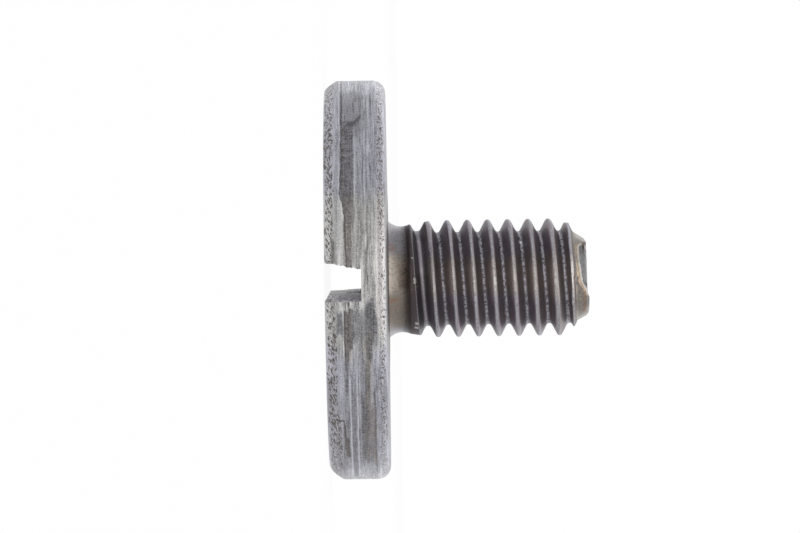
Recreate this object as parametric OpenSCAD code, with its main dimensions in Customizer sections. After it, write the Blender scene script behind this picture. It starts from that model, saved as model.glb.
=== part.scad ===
// Slotted pan head screw, one solid turned from steel with a rolled thread.
// It stands on its slotted face, with the shank along +Z and z = 0 on that face.

/* [Head] */
// Diameter of the head
head_d = 19.72; // [14:0.01:26]
// Thickness of the head
head_h = 3; // [2.4:0.1:5]
// Width of the bevel around the slotted face
face_bevel = 0.42; // [0.2:0.01:0.9]
// Length of the soft bend at each end of that bevel
bevel_softness = 0.16; // [0.05:0.01:0.25]
// Radius of the edge around the bearing face
bearing_edge_r = 0.65; // [0.2:0.05:0.9]

/* [Slot] */
// Width of the slot
slot_w = 1.6; // [1.2:0.05:2.4]
// Depth of the slot
slot_depth = 1.76; // [1:0.01:2]
// Turn of the slot about the screw's axis, in degrees
slot_turn = 1.1; // [0:0.1:10]
// How far the slot lies off the screw's axis, towards -X
slot_offset = 0.02; // [0:0.01:0.2]
// How far a driver has pushed back one slot wall at the rim
slot_wear = 0.3; // [0.05:0.01:0.4]

/* [Neck] */
// Smallest diameter of the plain neck
neck_d = 5.24; // [4.9:0.01:5.5]
// Radius of the hollow turned into the neck
hollow_r = 0.9; // [0.85:0.05:1.2]
// Height of the middle of that hollow above the bearing face
hollow_z = 0.68; // [0.6:0.02:0.8]

/* [Thread] */
// Length of the shank under the head
shank_l = 9.9; // [6:0.1:30]
// Diameter over the thread's crests
thread_d = 5.8; // [5.5:0.05:6]
// Distance from one crest to the next
pitch = 1; // [0.75:0.05:1.25]
// Height of the first ridge above the bearing face, at the low side of the run-in
run_in_z = 1.08; // [1:0.02:1.2]
// Length over which the crests rise to their full diameter
run_in_l = 1.2; // [0.8:0.1:2]
// How much lower the thread starts than its full radius
run_in_drop = 0.19; // [0.1:0.01:0.25]
// Height above the bearing face at which a crest passes over the +X side
crest_z = 1.45; // [1.3:0.01:1.6]

/* [Point] */
// Diameter of the end where its bevel would meet the flat
point_d = 3.65; // [3.2:0.05:4.2]
// Angle between the bevel at the end and the screw's axis, in degrees
point_angle = 42; // [35:1:50]
// Radius of the edge around the end
point_edge_r = 0.2; // [0.1:0.05:0.4]
// Radius of the hollow broken out of the end's edge
scoop_r = 2.4; // [2:0.1:3]
// How far that hollow reaches down from the end
scoop_depth = 0.5; // [0.2:0.05:0.55]
// How far the middle of that hollow lies outside the end's edge
scoop_out = 0.55; // [0.4:0.05:0.8]
// How far the middle of that hollow lies towards -X
scoop_shift = 0.6; // [0:0.1:1]

/* [Hidden] */

$fn = 96;
cut = 1;                 // how far a cutter reaches past what it cuts
wall_share = 0.25;       // how far the worn corner's cutter reaches back into the slot
bend_share = 0.35;       // how far a soft bend turns from one edge of the bevel to the next
root_sink = 0.5;         // how far the neck reaches into the head
flare = 0.5;             // how much of its hollow the neck holds where it meets the head
skin = 0.012;            // how far the thread's facets lie inside the round ends they run into
head_r = head_d / 2;
neck_r = neck_d / 2;
total_h = head_h + shank_l;

// A 60 degree thread, with its crests cut flat and its roots rounded
steps = 36;              // facets in one turn
thread_r = thread_d / 2;
sharp_h = pitch * sqrt(3) / 2;
thread_depth = sharp_h * 17 / 24;
root_r = thread_r - thread_depth;
crest_half = pitch / 16;
crest_round = pitch * 0.025;
root_round = pitch * 0.03;
root_half = pitch / 2 - crest_half - (thread_depth - root_round - crest_round) / sqrt(3);
flank_mid = (crest_half + pitch / 2 - root_half) / 2;
flank_r = (thread_r - crest_round + root_r + root_round) / 2;
// [place along the pitch from a crest, radius]
ridge = [
    [0, thread_r],
    [crest_half, thread_r - crest_round],
    [flank_mid, flank_r],
    [pitch / 2 - root_half, root_r + root_round],
    [pitch / 2, root_r],
    [pitch / 2 + root_half, root_r + root_round],
    [pitch - flank_mid, flank_r],
    [pitch - crest_half, thread_r - crest_round]
];
rows = len(ridge);

// Heights above the bearing face at which the round neck and the round point hand over to the thread
neck_end = 0.9;
point_slope = tan(point_angle);
bevel_z = shank_l - (thread_r - point_d / 2) / point_slope;
point_start = bevel_z + (thread_r - root_r) / point_slope;
tuck = 0.4;              // share of the helix's rise that is left inside those two ends
dive = 3;                // how steeply the thread's hidden end draws in towards the axis
hidden = 0.05 * pitch;   // how much further than one turn the helix reaches into each of them
start_z = neck_end - pitch - hidden;
last = ceil((point_start + hidden - start_z) / pitch * steps);
start_angle = 360 * (start_z - crest_z) / pitch;

// The groove comes up from the neck over this many turns, up to the -X side of its first full turn.
// It is still a little shallow there, and reaches its full depth one turn later.
fade_turns = 0.4;
fade_power = 1.5;
first_lift = 0.09 * pitch;

// Outline that holds the crests: the neck's hollow, the run-in, then the bevel at the end
function hollow_at(z) = neck_r + hollow_r - sqrt(max(0, hollow_r * hollow_r - (z - hollow_z) * (z - hollow_z)));
function run_in_at(z) = thread_r - run_in_drop * max(0, 1 - max(0, z - run_in_z) / run_in_l);
function bevel_at(z) = thread_r - max(0, z - bevel_z) * point_slope;
function outline_at(z) =
    min(hollow_at(z), run_in_at(z), bevel_at(z)) - skin - max(0, z - point_start) * dive;

// How far the groove is raised where the thread begins, by the height of the groove's own middle
function lift_at(z) =
    let (turns = (z - crest_z) / pitch)
    turns > 1 ? 0
    : turns > 0 ? first_lift * (1 - turns)
    : first_lift + thread_depth * pow(-turns / fade_turns, fade_power);

// The helix rises by less inside the two round ends, so that its own ends stay hidden there
function tucked(z) =
    z < neck_end ? neck_end - (neck_end - z) * tuck
    : z > point_start ? point_start + (z - point_start) * tuck
    : z;

function thread_point(i, j) =
    let (
        angle = start_angle + 360 * i / steps,
        rise = start_z + pitch * i / steps,
        z = tucked(rise + ridge[j][0]),
        r = min(outline_at(z), ridge[j][1] + lift_at(rise + pitch / 2))
    )
    [r * cos(angle), r * sin(angle), z];

// Index of point j of step i. The last point of a step is the first one of the next turn.
function at(i, j) =
    j == rows ? at(i + steps, 0)
    : i <= last ? i * rows + j
    : (last + 1) * rows + i - last - 1;

module head_profile() {
    bend = bevel_softness;
    turn = bend * bend_share;
    edge = bearing_edge_r;
    polygon([
        [0, 0],
        [head_r - face_bevel - bend, 0],
        [head_r - face_bevel, turn],
        [head_r - turn, face_bevel],
        [head_r, face_bevel + bend],
        [head_r, head_h - edge],
        [head_r - edge, head_h - edge],
        [head_r - edge, head_h],
        [0, head_h]
    ]);
    translate([head_r - edge, head_h - edge]) circle(r = edge);
}

// One wall of the slot, pushed back where the driver has turned in it. The wall leans back from its
// foot, and leans more towards the rim.
module worn_corner() {
    far = head_r + cut;
    lean = slot_wear * (slot_depth + cut) / slot_depth * far / head_r;
    inside = slot_w * wall_share;
    polyhedron(
        points = [
            [inside, 0, -cut], [inside, -far, -cut], [inside, -far, slot_depth], [inside, 0, slot_depth],
            [0, 0, -cut], [-lean, -far, -cut], [0, -far, slot_depth], [0, 0, slot_depth]
        ],
        faces = [
            [0, 1, 2], [0, 2, 3], [4, 7, 6], [4, 6, 5], [0, 4, 5], [0, 5, 1],
            [1, 5, 6], [1, 6, 2], [2, 6, 7], [2, 7, 3], [3, 7, 4], [3, 4, 0]
        ]
    );
}

module slot_cutter() {
    rotate(slot_turn) translate([-slot_offset, 0, 0]) {
        translate([-slot_w / 2, -head_r - cut, -cut]) cube([slot_w, head_d + 2 * cut, slot_depth + cut]);
        translate([-slot_w / 2, 0, 0]) worn_corner();
    }
}

module head() {
    rotate_extrude() head_profile();
}

module neck() {
    translate([0, 0, head_h]) rotate_extrude() difference() {
        translate([0, -root_sink]) square([neck_r + hollow_r * flare, root_sink + neck_end]);
        translate([neck_r + hollow_r, hollow_z]) circle(r = hollow_r);
    }
}

module thread() {
    points = concat(
        [for (i = [0 : last]) for (j = [0 : rows - 1]) thread_point(i, j)],
        [for (i = [last + 1 : last + steps]) thread_point(i, 0)],
        [[0, 0, tucked(start_z)], [0, 0, tucked(start_z + pitch * (last / steps + 1))]]
    );
    low_end = len(points) - 2;
    high_end = len(points) - 1;
    sides = [for (i = [0 : last - 1]) for (j = [0 : rows - 1]) each [
        [at(i, j), at(i, j + 1), at(i + 1, j + 1)],
        [at(i, j), at(i + 1, j + 1), at(i + 1, j)]
    ]];
    low_cap = concat(
        [for (i = [0 : steps - 1]) [at(i, 0), at(i + 1, 0), low_end]],
        [for (j = [0 : rows - 1]) [at(0, j + 1), at(0, j), low_end]]
    );
    high_cap = concat(
        [for (i = [last : last + steps - 1]) [at(i + 1, 0), at(i, 0), high_end]],
        [for (j = [0 : rows - 1]) [at(last, j), at(last, j + 1), high_end]]
    );
    translate([0, 0, head_h]) polyhedron(points, concat(sides, low_cap, high_cap), convexity = 10);
}

module point_profile() {
    // Middle of the round edge, which touches both the bevel and the flat end
    edge_x = point_d / 2 - point_edge_r * tan((90 - point_angle) / 2);
    edge_z = shank_l - point_edge_r;
    polygon([
        [0, point_start],
        [bevel_at(point_start), point_start],
        [edge_x + point_edge_r * cos(point_angle), edge_z + point_edge_r * sin(point_angle)],
        [edge_x, edge_z],
        [edge_x, shank_l],
        [0, shank_l]
    ]);
    translate([edge_x, edge_z]) circle(r = point_edge_r);
}

module point() {
    translate([0, 0, head_h]) rotate_extrude() point_profile();
}

// The place on the end's edge where metal has broken away
module scoop_cutter() {
    translate([-scoop_shift, -point_d / 2 - scoop_out, total_h - scoop_depth + scoop_r]) sphere(r = scoop_r);
}

module screw() {
    color([0.6, 0.59, 0.6]) difference() {
        union() {
            head();
            neck();
            thread();
            point();
        }
        slot_cutter();
        scoop_cutter();
    }
}

screw();
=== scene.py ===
import math

import bpy
import numpy as np
from mathutils import Matrix, Vector


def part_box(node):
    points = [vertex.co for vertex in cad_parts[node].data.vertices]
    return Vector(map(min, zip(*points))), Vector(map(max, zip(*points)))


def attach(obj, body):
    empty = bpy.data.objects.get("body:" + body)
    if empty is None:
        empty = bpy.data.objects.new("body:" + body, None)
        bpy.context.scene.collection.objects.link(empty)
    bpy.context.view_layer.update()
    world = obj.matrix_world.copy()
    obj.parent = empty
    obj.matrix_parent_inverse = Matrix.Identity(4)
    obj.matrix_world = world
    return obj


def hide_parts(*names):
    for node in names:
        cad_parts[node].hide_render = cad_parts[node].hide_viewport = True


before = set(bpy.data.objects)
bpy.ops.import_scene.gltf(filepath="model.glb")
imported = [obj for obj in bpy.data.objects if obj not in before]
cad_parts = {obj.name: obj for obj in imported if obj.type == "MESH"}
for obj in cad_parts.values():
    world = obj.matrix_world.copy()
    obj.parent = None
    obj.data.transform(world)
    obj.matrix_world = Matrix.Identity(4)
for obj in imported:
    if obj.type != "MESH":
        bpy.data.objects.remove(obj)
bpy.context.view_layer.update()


# ---- Camera
# A long lens looks square on at the side of the screw, which stands on its slotted face. The
# camera lies on its side, so that the shank points to the right.
MM = 0.001
AIM = Vector((-0.631, 0, 3.597)) * MM
AWAY = 227 * MM
AZIMUTH, ELEVATION, ROLL = math.radians(0.291), math.radians(0.065), math.radians(-0.918)

look = Vector((
    math.sin(AZIMUTH) * math.cos(ELEVATION),
    math.cos(AZIMUTH) * math.cos(ELEVATION),
    -math.sin(ELEVATION),
))
level_right = (Vector((0, 0, 1)) - look * look.z).normalized()
level_up = level_right.cross(look)
right = level_right * math.cos(ROLL) + level_up * math.sin(ROLL)
up = level_up * math.cos(ROLL) - level_right * math.sin(ROLL)


def new_object(name, data):
    made = bpy.data.objects.new(name, data)
    bpy.context.scene.collection.objects.link(made)
    return made


camera = new_object("camera", bpy.data.cameras.new("camera"))
turned_to = Matrix((right, up, -look)).transposed().to_4x4()
camera.matrix_world = Matrix.Translation(AIM - look * AWAY) @ turned_to
camera.data.sensor_width = 36
camera.data.lens = 206.3
camera.data.clip_start = 0.01
camera.data.clip_end = 20
bpy.context.scene.camera = camera


# ---- Floor
# A plain pale floor under the slotted face. It shows as white, and keeps a little of the
# screw's shadow.
FLOOR_SIZE = 6.0
FLOOR_GLOW = 0.93  # share of the floor's white that no shadow darkens


class Tree:
    """Adds nodes to a tree in short lines. A socket or a plain value may stand at any input."""

    def __init__(self, tree):
        self.tree = tree

    def add(self, kind, inputs=None, **settings):
        node = self.tree.nodes.new(kind)
        for name, value in settings.items():
            setattr(node, name, value)
        for name, value in (inputs or {}).items():
            self.put(node.inputs[name], value)
        return node

    def put(self, socket, value):
        if isinstance(value, bpy.types.NodeSocket):
            self.tree.links.new(value, socket)
        else:
            socket.default_value = value

    def split(self, vector):
        """The x, y and z of a vector."""
        return self.add("ShaderNodeSeparateXYZ", {0: vector}).outputs

    def join(self, x, y, z=0.0):
        """A vector of x, y and z."""
        return self.add("ShaderNodeCombineXYZ", {"X": x, "Y": y, "Z": z}).outputs[0]

    def math(self, operation, a, b=0.0, c=0.0, clamp=False):
        node = self.add("ShaderNodeMath", operation=operation, use_clamp=clamp)
        for socket, value in zip(node.inputs, (a, b, c)):
            self.put(socket, value)
        return node.outputs[0]

    def chain(self, operation, *values):
        """The values, joined one after another."""
        total = values[0]
        for value in values[1:]:
            total = self.math(operation, total, value)
        return total

    def times(self, *values):
        return self.chain("MULTIPLY", *values)

    def plus(self, *values):
        return self.chain("ADD", *values)

    def most(self, *values):
        return self.chain("MAXIMUM", *values)

    def less(self, a, b):
        return self.math("SUBTRACT", a, b)

    def ramp(self, value, low, high, out_low=0.0, out_high=1.0):
        """A soft step of value from out_low at low to out_high at high."""
        return self.add("ShaderNodeMapRange", {
            "Value": value, "From Min": low, "From Max": high, "To Min": out_low, "To Max": out_high,
        }, interpolation_type="SMOOTHSTEP").outputs[0]

    def band(self, value, low, high, soft):
        """1 where value lies between low and high, fading to 0 over soft on each side."""
        rising = self.ramp(value, low - soft, low)
        return self.times(rising, self.ramp(value, high, high + soft, 1, 0))

    def mix(self, share, a, b):
        """Colour a where share is 0, b where it is 1."""
        node = self.add("ShaderNodeMix", data_type="RGBA", clamp_factor=True)
        self.put(node.inputs[0], share)
        for socket, colour in ((node.inputs[6], a), (node.inputs[7], b)):
            self.put(socket, (*colour, 1) if isinstance(colour, tuple) else colour)
        return node.outputs[2]

    def noise(self, vector, scale, detail=2.0, rough=0.5, w=None):
        inputs = {"Vector": vector, "Scale": scale, "Detail": detail, "Roughness": rough}
        if w is None:
            return self.add("ShaderNodeTexNoise", inputs).outputs[0]
        inputs["W"] = w
        return self.add("ShaderNodeTexNoise", inputs, noise_dimensions="4D").outputs[0]


def new_tree(data):
    data.use_nodes = True
    data.node_tree.nodes.clear()
    return Tree(data.node_tree)


def seen_directly(tree):
    """1 for camera, mirror and glass rays, 0 for soft light."""
    path = tree.add("ShaderNodeLightPath").outputs
    seen = tree.math("MAXIMUM", path["Is Camera Ray"], path["Is Glossy Ray"])
    return tree.math("MAXIMUM", seen, path["Is Transmission Ray"])


half = FLOOR_SIZE / 2
floor_mesh = bpy.data.meshes.new("floor")
corners = [(-half, -half, 0), (half, -half, 0), (half, half, 0), (-half, half, 0)]
floor_mesh.from_pydata(corners, [], [(0, 1, 2, 3)])
floor = new_object("floor", floor_mesh)

paper = bpy.data.materials.new("white_paper")
tree = new_tree(paper)
sheet = tree.add("ShaderNodeBsdfDiffuse", {"Color": (0.9, 0.9, 0.9, 1)})
glow = tree.add("ShaderNodeEmission", {"Color": (1, 1, 1, 1), "Strength": 1.0})
both = tree.add("ShaderNodeMixShader", {0: tree.times(seen_directly(tree), FLOOR_GLOW)})
tree.put(both.inputs[1], sheet.outputs[0])
tree.put(both.inputs[2], glow.outputs[0])
tree.add("ShaderNodeOutputMaterial", {"Surface": both.outputs[0]})
floor_mesh.materials.append(paper)


# ---- Light
# A white surround, a wide warm lamp in front, a cool one above, and two behind that brighten
# the edges.
LIT = Vector((0, 0, 6)) * MM  # the point that every lamp faces

world = bpy.data.worlds.new("white_room")
bpy.context.scene.world = world
tree = new_tree(world)
strength = tree.ramp(seen_directly(tree), 0, 1, 0.8, 1.0)
surround = tree.add("ShaderNodeBackground", {"Color": (1, 1, 1, 1), "Strength": strength})
tree.add("ShaderNodeOutputWorld", {"Surface": surround.outputs[0]})


def lamp(name, place, width, height, power, colour):
    """A soft lamp that faces the shank."""
    data = bpy.data.lights.new(name, "AREA")
    data.shape = "RECTANGLE"
    data.size = width
    data.size_y = height
    data.energy = power
    data.color = colour
    made = new_object(name, data)
    made.location = place
    made.rotation_mode = "QUATERNION"
    made.rotation_quaternion = (LIT - Vector(place)).to_track_quat("-Z", "Y")


lamp("front_lamp", (0.03, -0.95, 0.22), 1.2, 0.7, 1.9, (1.0, 0.965, 0.9))
for name, side in (("left_back_lamp", -0.47), ("right_back_lamp", 0.47)):
    lamp(name, (side, 0.81, 0.3), 0.5, 0.8, 1.1, (0.95, 0.96, 1.0))
lamp("top_lamp", (0, 0.1, 1.2), 0.9, 0.9, 3.0, (0.97, 0.98, 1.0))
bpy.context.scene.view_settings.view_transform = "Standard"


# ---- Head
# The screw is one piece of steel. Its head is a disc turned in a lathe, with a narrow bevel
# around the slotted face and a round edge around the bearing face.
low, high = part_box("screw")
HEAD_R = (high.x - low.x) / 2 / MM
TOTAL_H = high.z / MM
HEAD_H = 3.0
BEVEL_FACE, BEVEL_RIM = 0.46, 0.62  # where the rounded bevel meets the face and the rim
BEVEL_CORNER = (0.2, 0.2)  # how far in, and how high, its curve is drawn out to
FACE_EDGE = 0.66  # how far in from the rim the face starts to fall to the bevel
FACE_FALL = 0.012  # how far it has fallen where the bevel starts
BEARING_EDGE_R = 0.65
BEARING_RINGS = (7.4, 5.6, 4.4, 3.7, 3.3, 3.05)  # radii that divide the bearing face
HEAD_STEPS = 1000  # columns around the head


def straight(start, end, count):
    """Points of a straight run, without the first."""
    share = np.linspace(0, 1, count + 1)[1:, None]
    return (1 - share) * np.array(start, float) + share * np.array(end, float)


def bend(start, corner, end, count):
    """Points of a soft bend, without the first."""
    share = np.linspace(0, 1, count + 1)[1:, None]
    start, corner, end = (np.array(point, float) for point in (start, corner, end))
    return (1 - share) ** 2 * start + 2 * share * (1 - share) * corner + share ** 2 * end


def turned(name, outline, steps):
    """A closed body from an outline of (radius, height) that starts and ends on the axis."""
    rings = outline[1:-1]
    angle = np.arange(steps) * 2 * math.pi / steps
    points = np.empty((len(rings), steps, 3))
    points[..., 0] = rings[:, None, 0] * np.cos(angle)
    points[..., 1] = rings[:, None, 0] * np.sin(angle)
    points[..., 2] = rings[:, None, 1]
    points = np.vstack([points.reshape(-1, 3), [0, 0, outline[0][1]], [0, 0, outline[-1][1]]])
    first, last = len(points) - 2, len(points) - 1
    top = (len(rings) - 1) * steps
    faces = []
    for i in range(steps):
        j = (i + 1) % steps
        faces.append((first, j, i))
        faces += [(k + i, k + j, k + steps + j, k + steps + i) for k in range(0, top, steps)]
        faces.append((top + i, top + j, last))
    return body(name, points, faces)


def body(name, points, faces):
    """An object of its own from points and faces."""
    mesh = bpy.data.meshes.new(name)
    mesh.from_pydata(points.tolist(), [], faces)
    return new_object(name, mesh)


face_edge = (HEAD_R - FACE_EDGE, 0)
bevel_low = (HEAD_R - BEVEL_FACE, FACE_FALL)
bevel_corner = (HEAD_R - BEVEL_CORNER[0], BEVEL_CORNER[1])
rim_low = (HEAD_R, BEVEL_RIM)
rim_high = (HEAD_R, HEAD_H - BEARING_EDGE_R)
quarter = np.linspace(0, math.pi / 2, 14)[1:]
round_edge = np.stack([
    HEAD_R - BEARING_EDGE_R * (1 - np.cos(quarter)),
    HEAD_H - BEARING_EDGE_R * (1 - np.sin(quarter)),
], 1)
rim_outline = np.vstack([
    [face_edge],
    [bevel_low],
    bend(bevel_low, bevel_corner, rim_low, 12),
    straight(rim_low, rim_high, 26),
    round_edge,
])
head = turned("head", np.vstack([
    [(0, 0)],
    straight((0, 0), face_edge, 3)[:-1],
    rim_outline,
    [(ring, HEAD_H) for ring in (*BEARING_RINGS, 0)],
]), HEAD_STEPS)


# ---- Shank
# The shank is the same steel: a short neck with a turned hollow, a rolled thread that rises out
# of it, and a bevelled point. One strip, wound round and round, makes all three.
SHANK_L = TOTAL_H - HEAD_H
THREAD_R = 2.9
PITCH = 1.0
THREAD_DEPTH = PITCH * math.sqrt(3) / 2 * 17 / 24
CREST_Z = 1.45  # height of the first crest above the bearing face, over the +X side
POINT_R = 1.825  # radius at which the bevel would meet the flat end
POINT_ANGLE = math.radians(42)
POINT_EDGE_R = 0.2
BURIED = 0.5  # length of the shank inside the head
CAP_LOW, CAP_HIGH = 0.3, 1.3  # length of strip that closes each end
STEPS = 128  # faces in one turn
ROWS = 20  # faces across the strip
WELD = 0.0005  # points nearer than this become one

slope = math.tan(POINT_ANGLE)
edge_x = POINT_R - POINT_EDGE_R * math.tan((math.pi / 2 - POINT_ANGLE) / 2)
edge_z = SHANK_L - POINT_EDGE_R
arc_z = edge_z + POINT_EDGE_R * math.sin(POINT_ANGLE)
arc_turn = math.pi / 2 - POINT_ANGLE
strip_start = -BURIED - CAP_LOW - PITCH
strip_turns = (arc_z + POINT_EDGE_R * arc_turn + CAP_HIGH - strip_start) / PITCH
strip_turns = math.ceil(strip_turns * STEPS) / STEPS
sizes = {
    "Turns": strip_turns,
    "Start": strip_start,
    "Pitch": PITCH,
    "Thread radius": THREAD_R,
    "Thread depth": THREAD_DEPTH,
    "Crest flat": 0.17,
    "Crest rounding": 0.2,
    "Flank slope": 1.95,
    "Root rounding": 0.2,
    "Crest height": CREST_Z,
    "First lift": 0.09,
    "Fade turns": 0.4,
    "Fade power": 1.5,
    "Neck radius": 2.62,
    "Hollow radius": 0.9,
    "Hollow height": 0.68,
    "Run-in height": 1.08,
    "Run-in length": 1.2,
    "Run-in drop": 0.19,
    "Bevel height": SHANK_L - (THREAD_R - POINT_R) / slope,
    "Bevel slope": slope,
    "Corner radius": edge_x,
    "Corner height": edge_z,
    "Point edge radius": POINT_EDGE_R,
    "Point angle": POINT_ANGLE,
    "Bevel rounding": 0.03,
    "Ridge rounding": 0.02,
    "Lift onto head": HEAD_H,
    "Buried length": BURIED,
    "Low cap": CAP_LOW,
    "High cap": CAP_HIGH,
}
winding = bpy.data.node_groups.new("wound_shank", "GeometryNodeTree")
for name in sizes:
    winding.interface.new_socket(name, in_out="INPUT", socket_type="NodeSocketFloat")
winding.interface.new_socket("Material", in_out="INPUT", socket_type="NodeSocketMaterial")
winding.interface.new_socket("Geometry", in_out="OUTPUT", socket_type="NodeSocketGeometry")
tree = Tree(winding)
given = tree.add("NodeGroupInput").outputs
op, times, plus, less, most = tree.math, tree.times, tree.plus, tree.less, tree.most

# A flat strip, one unit of x for each turn and one unit of y across the pitch
grid = tree.add("GeometryNodeMeshGrid", {
    "Size X": given["Turns"],
    "Size Y": 1,
    "Vertices X": round(strip_turns * STEPS) + 1,
    "Vertices Y": ROWS + 1,
})
on_strip = tree.split(tree.add("GeometryNodeInputPosition").outputs[0])
pitch, thread_r, crest_z = given["Pitch"], given["Thread radius"], given["Crest height"]
hollow_r, edge_r, point_angle = given["Hollow radius"], given["Point edge radius"], given["Point angle"]
turns = plus(on_strip[0], times(given["Turns"], 0.5))
across = plus(on_strip[1], 0.5)
strip_rise = plus(times(turns, pitch), given["Start"])
rise = plus(strip_rise, times(across, pitch))
angle = times(op("DIVIDE", less(strip_rise, crest_z), pitch), 2 * math.pi)

# The ridge is flat on its crest, straight on its flanks and round in its root. Its groove comes
# up from the neck little by little.
from_crest = times(op("PINGPONG", across, 0.5), pitch)
from_flat = less(from_crest, times(given["Crest flat"], 0.5))
flank = less(thread_r, times(from_flat, given["Flank slope"]))
ridge = op("SMOOTH_MIN", flank, thread_r, given["Crest rounding"])
groove = less(plus(strip_rise, times(pitch, 0.5)), crest_z)
before = op("DIVIDE", most(times(groove, -1), 0), times(given["Fade turns"], pitch))
lift = times(op("POWER", before, given["Fade power"]), given["Thread depth"])
late = times(less(1, most(groove, 0)), given["First lift"])
root = plus(less(thread_r, given["Thread depth"]), lift, most(late, 0))
ridge = op("SMOOTH_MAX", ridge, root, given["Root rounding"])

# The outline that holds the crests: the neck's hollow, the run-in, the bevel
off = less(rise, given["Hollow height"])
hollow = less(times(hollow_r, hollow_r), times(off, off))
hollow = less(plus(given["Neck radius"], hollow_r), op("SQRT", most(hollow, 0)))
climb = op("DIVIDE", most(less(rise, given["Run-in height"]), 0), given["Run-in length"])
run_in = less(thread_r, times(most(less(1, climb), 0), given["Run-in drop"]))
run_in = plus(run_in, op("LESS_THAN", rise, given["Hollow height"]))
bevel = times(most(less(rise, given["Bevel height"]), 0), given["Bevel slope"])
bevelled = less(thread_r, bevel)
outline = op("SMOOTH_MIN", op("MINIMUM", hollow, run_in), bevelled, given["Bevel rounding"])
radius = op("SMOOTH_MIN", ridge, outline, given["Ridge rounding"])
radius = op("MINIMUM", radius, thread_r)

# The round edge and the flat end, then the cap inside the head
edge_start = times(op("SINE", point_angle), edge_r)
edge_start = plus(given["Corner height"], edge_start)
edge_turn = less(math.pi / 2, point_angle)
edge_length = times(edge_turn, edge_r)
past = most(less(rise, edge_start), 0)
corner = plus(times(op("MINIMUM", op("DIVIDE", past, edge_length), 1), edge_turn), point_angle)
flat = op("DIVIDE", most(less(past, edge_length), 0), given["High cap"])
end_radius = plus(times(op("COSINE", corner), edge_r), given["Corner radius"])
end_radius = times(end_radius, most(less(1, flat), 0))
end_height = plus(times(op("SINE", corner), edge_r), given["Corner height"])
at_end = op("GREATER_THAN", rise, edge_start)
radius = plus(radius, times(at_end, less(end_radius, radius)))
height = plus(rise, times(at_end, less(end_height, rise)))
low_share = op("DIVIDE", less(rise, plus(given["Start"], pitch)), given["Low cap"], clamp=True)
radius = times(radius, low_share)
height = most(height, times(given["Buried length"], -1))
position = tree.join(
    times(radius, op("COSINE", angle)),
    times(radius, op("SINE", angle)),
    plus(height, given["Lift onto head"]),
)
wound = tree.add("GeometryNodeSetPosition", {"Geometry": grid.outputs[0], "Position": position})
closed = tree.add("GeometryNodeMergeByDistance", {"Geometry": wound.outputs[0], "Distance": WELD})
real = tree.add("GeometryNodeRealizeInstances", {"Geometry": closed.outputs[0]})
coated = {"Geometry": real.outputs[0], "Material": given["Material"]}
coated = tree.add("GeometryNodeSetMaterial", coated)
tree.add("NodeGroupOutput", {"Geometry": coated.outputs[0]})


def evaluated(obj, name):
    """A plain mesh of obj with its modifiers applied."""
    bpy.context.view_layer.update()
    mesh = bpy.data.meshes.new_from_object(obj.evaluated_get(bpy.context.evaluated_depsgraph_get()))
    mesh.name = name
    return mesh


steel = bpy.data.materials.new("worn_steel")
shank = body("shank", np.zeros((1, 3)), [])
modifier = shank.modifiers.new("winding", "NODES")
modifier.node_group = winding
for item in winding.interface.items_tree:
    if item.in_out == "INPUT":
        modifier[item.identifier] = sizes.get(item.name, steel)
shank.data = evaluated(shank, "shank")
shank.modifiers.clear()


# ---- Slot
# The slot is milled straight across the head. A driver has pushed back one of its walls, and
# small burrs hang along the edge of that wall.
SLOT_W, SLOT_DEPTH = 1.6, 1.76
SLOT_TURN = math.radians(1.1)
SLOT_OFFSET = 0.02
SLOT_WEAR = 0.3  # how far the driver has pushed back a wall at the rim
WALL_ROUGH = 0.006
OVERRUN = 0.6  # how far the cutter runs out past the rim, and out of the face
WORN_L = 1.0  # length at each end where its sections lie close together
BURR_IN, BURR_REACH = 0.1, 0.22  # how far in from the rim burrs stand, and reach along the edge
BURRS = (  # height, half length and thickness of each burr
    (0.03, 0.05, 0.05), (0.62, 0.07, 0.04), (0.78, 0.06, 0.05), (1.1, 0.12, 0.075),
    (1.3, 0.07, 0.06), (1.5, 0.06, 0.05), (1.63, 0.09, 0.065),
)

worn_tail = np.linspace(-HEAD_R - OVERRUN, -HEAD_R + WORN_L, 28)
middle_l = HEAD_R - (WORN_L + 0.2)
along = np.concatenate([worn_tail, np.linspace(-middle_l, middle_l, 70), -worn_tail[::-1]])
wall_z = np.concatenate([[-OVERRUN], np.linspace(-0.05, SLOT_DEPTH, 34)])
lean = np.clip(1 - wall_z / SLOT_DEPTH, 0, None) * SLOT_WEAR
bottom = np.linspace(-0.5, 0.5, 8)[1:-1] * SLOT_W
section_z = np.concatenate([wall_z, np.full(len(bottom), SLOT_DEPTH), wall_z[::-1]])
section = len(section_z)
points = np.empty((len(along), section, 3))
burr = sum(thick * np.exp(-((wall_z - middle) / half) ** 2) for middle, half, thick in BURRS)
rng = np.random.default_rng(5)
for i, y in enumerate(along):
    near = max(0.0, -y) / HEAD_R
    hanging = burr * math.exp(-((y + HEAD_R - BURR_IN) / BURR_REACH) ** 2)
    rough = rng.normal(0, WALL_ROUGH, (2, len(wall_z)))
    left_wall = -SLOT_W / 2 - near * lean + hanging + rough[0]
    points[i, :, 0] = np.concatenate([left_wall, bottom, (rough[1] + SLOT_W / 2)[::-1]])
    points[i, :, 1] = y
    points[i, :, 2] = section_z
faces = [
    (a + k, a + (k + 1) % section, a + section + (k + 1) % section, a + section + k)
    for a in range(0, (len(along) - 1) * section, section)
    for k in range(section)
]
faces.append(tuple(range(section))[::-1])
faces.append(tuple(range((len(along) - 1) * section, len(along) * section)))
cutter = body("slot_cutter", points.reshape(-1, 3), faces)
cutter.data.transform(Matrix.Rotation(SLOT_TURN, 4, "Z") @ Matrix.Translation((-SLOT_OFFSET, 0, 0)))

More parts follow.
